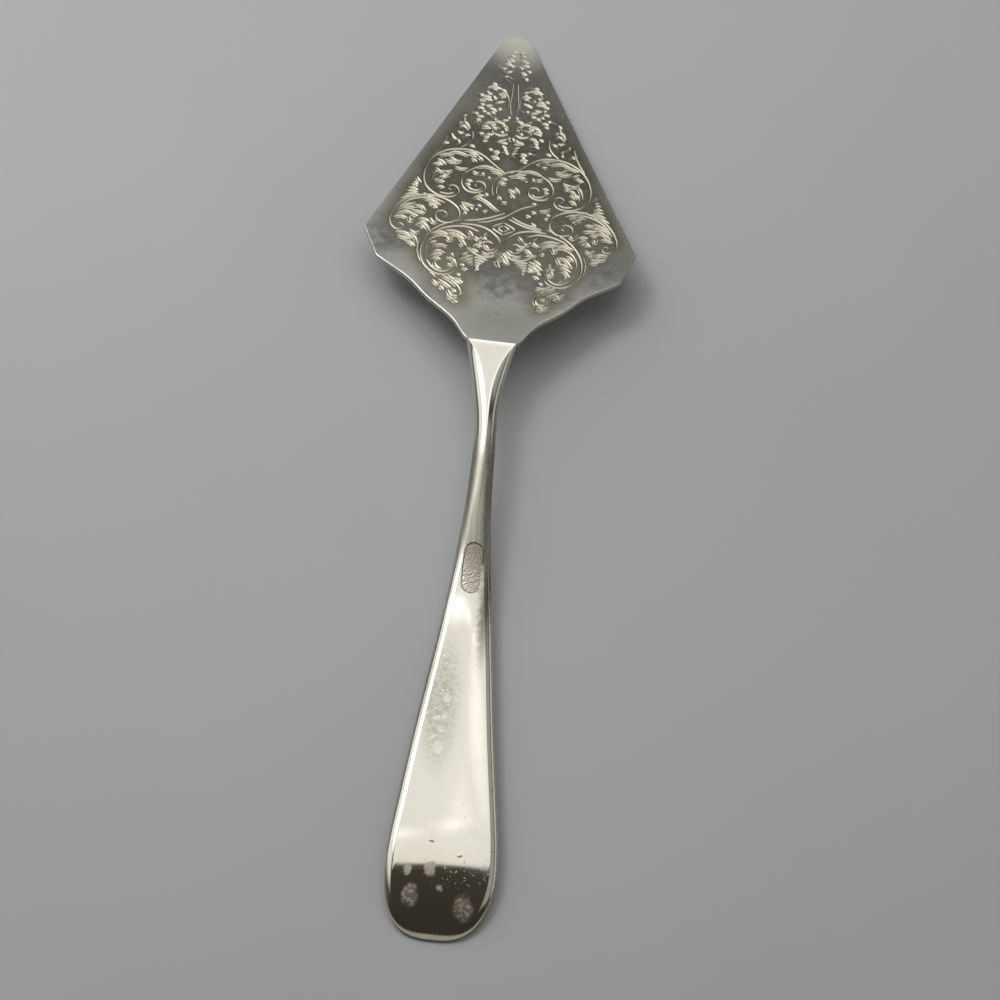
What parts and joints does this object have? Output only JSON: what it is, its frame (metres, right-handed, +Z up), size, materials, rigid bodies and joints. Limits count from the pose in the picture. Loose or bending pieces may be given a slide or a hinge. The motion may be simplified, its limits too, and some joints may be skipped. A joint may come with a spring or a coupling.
{
  "type": "cake server",
  "caption": "Cake server: a flat kite-shaped blade with scalloped rear edges, soldered on a solid handle that falls from the neck to a broad grip with a turned-down round end.",
  "frame": {"origin": "middle of the object's box, on the table that it lies on", "axes": "+Y from the end of the handle to the blade's tip, +X to the right seen from above with the tip away, +Z up"},
  "size_m": [0.0658, 0.24, 0.0134],
  "materials": {
    "blade_plate": "silver plate, polished and worn, with bright-cut ornament",
    "handle_plate": "silver plate, polished, with fine scratches and water spots",
    "solder": "dull silver solder"
  },
  "bodies": {
    "root": {"blade": "blade_plate", "handle": "handle_plate", "solder": "solder"}
  },
  "joints": []
}
